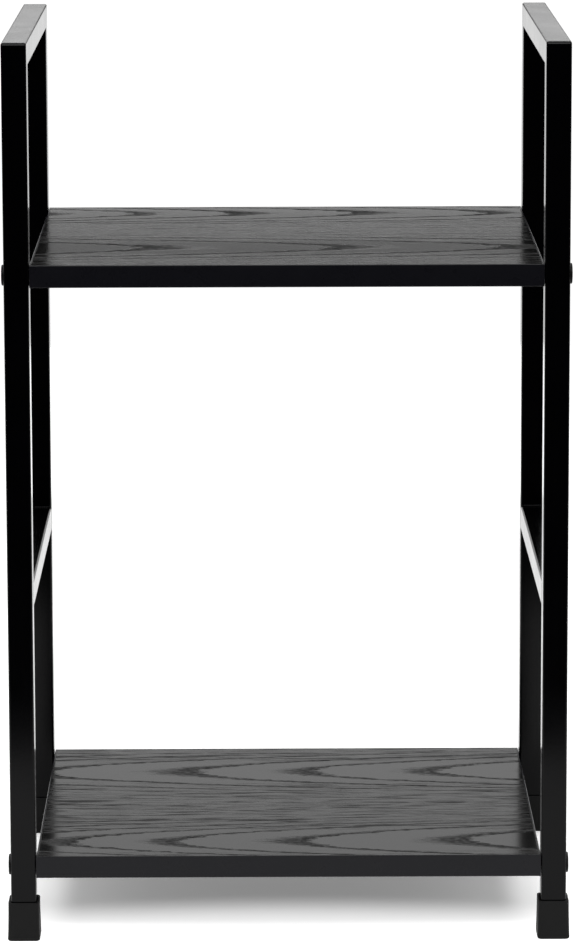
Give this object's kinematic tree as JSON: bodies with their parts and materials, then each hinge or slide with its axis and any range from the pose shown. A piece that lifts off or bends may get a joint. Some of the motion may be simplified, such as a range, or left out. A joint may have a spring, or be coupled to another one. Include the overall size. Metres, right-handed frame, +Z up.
{
  "type": "desk hutch",
  "caption": "Open-sided desk hutch: square-tube side frames with slip-on foot caps carry two black wood-grain boards, bolted through the posts.",
  "frame": {"origin": "on the standing surface, under the middle of the hutch", "axes": "+X to the right across the hutch seen from its open front, +Y from the front to the back, +Z up"},
  "size_m": [0.4044, 0.3044, 0.65],
  "materials": {
    "frame_paint": "smooth gloss black powder coat",
    "shelf_board": "black ash wood-grain laminate, semi-gloss with fine open grain",
    "edge_band": "plain satin black edge band",
    "foot_rubber": "matte black moulded rubber",
    "bolt_black": "black-coated steel, satin",
    "insert_brass": "plain turned brass"
  },
  "bodies": {
    "root": {"left_front_post": "frame_paint", "left_front_foot_cap": "foot_rubber", "left_back_post": "frame_paint", "left_back_foot_cap": "foot_rubber", "left_top_rail": "frame_paint", "left_mid_rail": "frame_paint", "right_front_post": "frame_paint", "right_front_foot_cap": "foot_rubber", "right_back_post": "frame_paint", "right_back_foot_cap": "foot_rubber", "right_top_rail": "frame_paint", "right_mid_rail": "frame_paint", "upper_shelf_board": "shelf_board", "upper_shelf_front_band": "edge_band", "upper_shelf_back_band": "edge_band", "upper_shelf_left_band": "edge_band", "upper_shelf_right_band": "edge_band", "upper_left_front_bolt": "bolt_black", "upper_left_front_insert": "insert_brass", "upper_left_back_bolt": "bolt_black", "upper_left_back_insert": "insert_brass", "upper_right_front_bolt": "bolt_black", "upper_right_front_insert": "insert_brass", "upper_right_back_bolt": "bolt_black", "upper_right_back_insert": "insert_brass", "lower_shelf_board": "shelf_board", "lower_shelf_front_band": "edge_band", "lower_shelf_back_band": "edge_band", "lower_shelf_left_band": "edge_band", "lower_shelf_right_band": "edge_band", "lower_left_front_bolt": "bolt_black", "lower_left_front_insert": "insert_brass", "lower_left_back_bolt": "bolt_black", "lower_left_back_insert": "insert_brass", "lower_right_front_bolt": "bolt_black", "lower_right_front_insert": "insert_brass", "lower_right_back_bolt": "bolt_black", "lower_right_back_insert": "insert_brass"}
  },
  "joints": []
}
